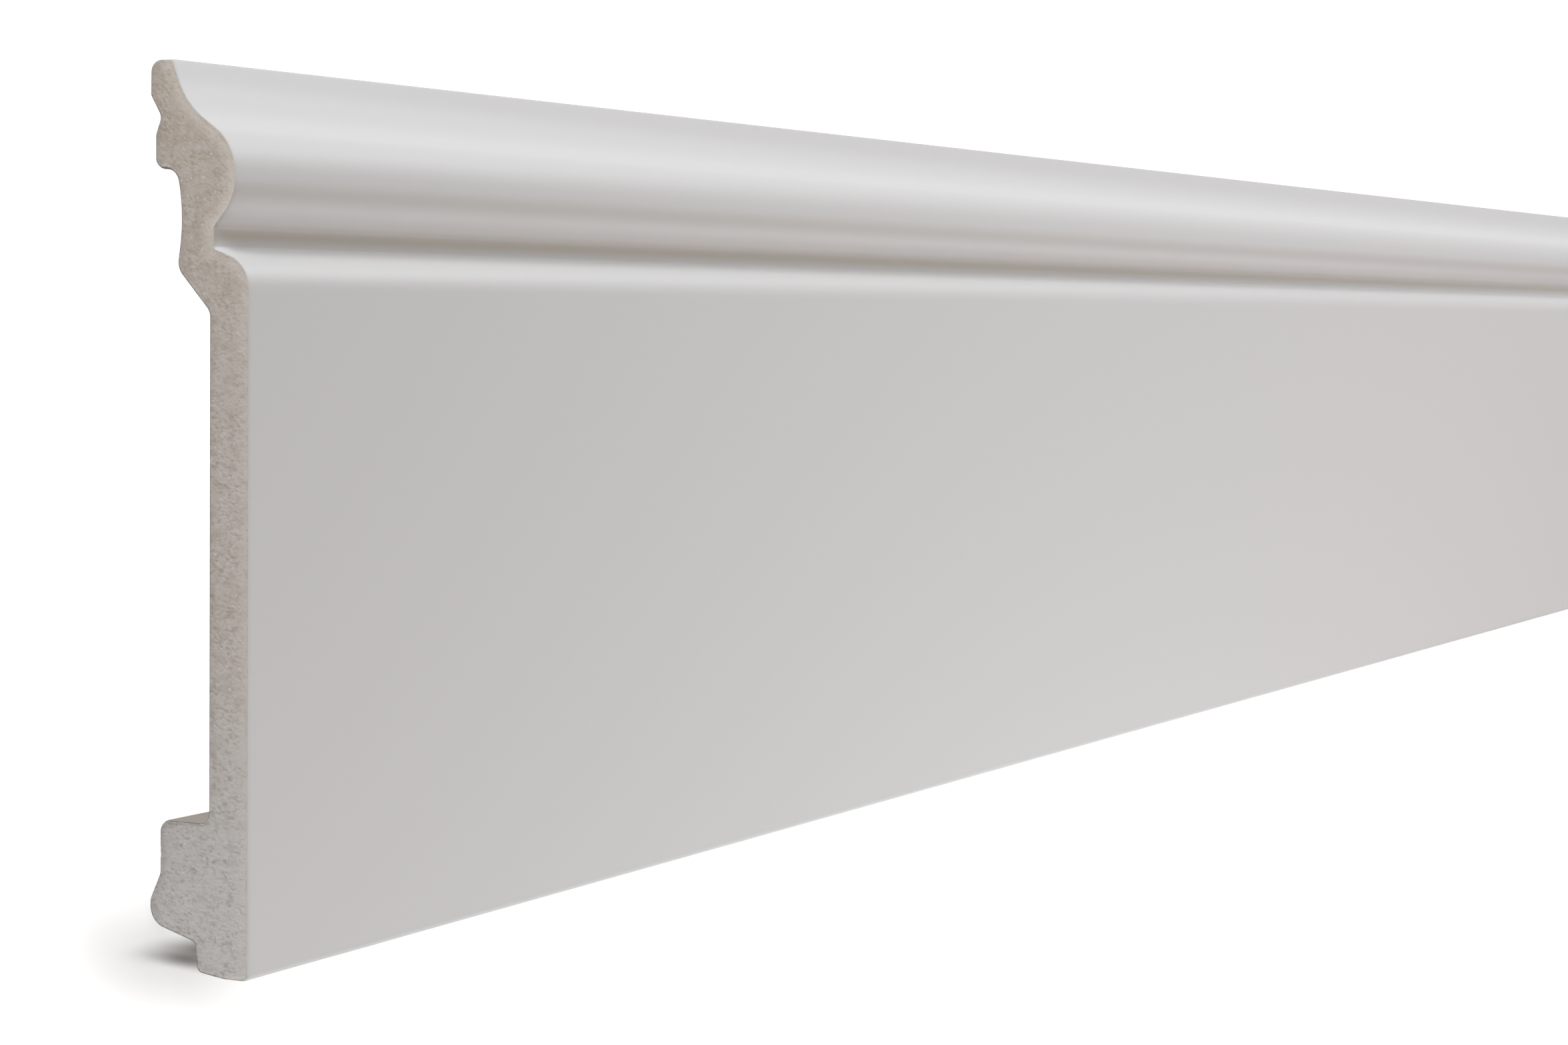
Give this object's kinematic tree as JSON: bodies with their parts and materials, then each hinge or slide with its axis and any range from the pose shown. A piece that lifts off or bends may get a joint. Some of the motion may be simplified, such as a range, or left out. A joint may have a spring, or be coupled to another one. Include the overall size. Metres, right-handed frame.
{
  "type": "skirting board length",
  "caption": "Straight length of primed skirting board in rigid foam, with a cove and bead top, a plain face, and a hollow back that clears cables.",
  "frame": {"origin": "middle of the wall plane that the board lies on, halfway along it and halfway up its height", "axes": "+X along the board, +Y from the foot to the top edge, +Z out of the wall side towards the room side"},
  "size_m": [2, 0.138, 0.018],
  "materials": {
    "primed_foam": "rigid foamed polystyrene with a smooth, satin-matt white primer, bare and finely pored at the cut ends"
  },
  "bodies": {
    "root": {"skirting_board": "primed_foam"}
  },
  "joints": []
}
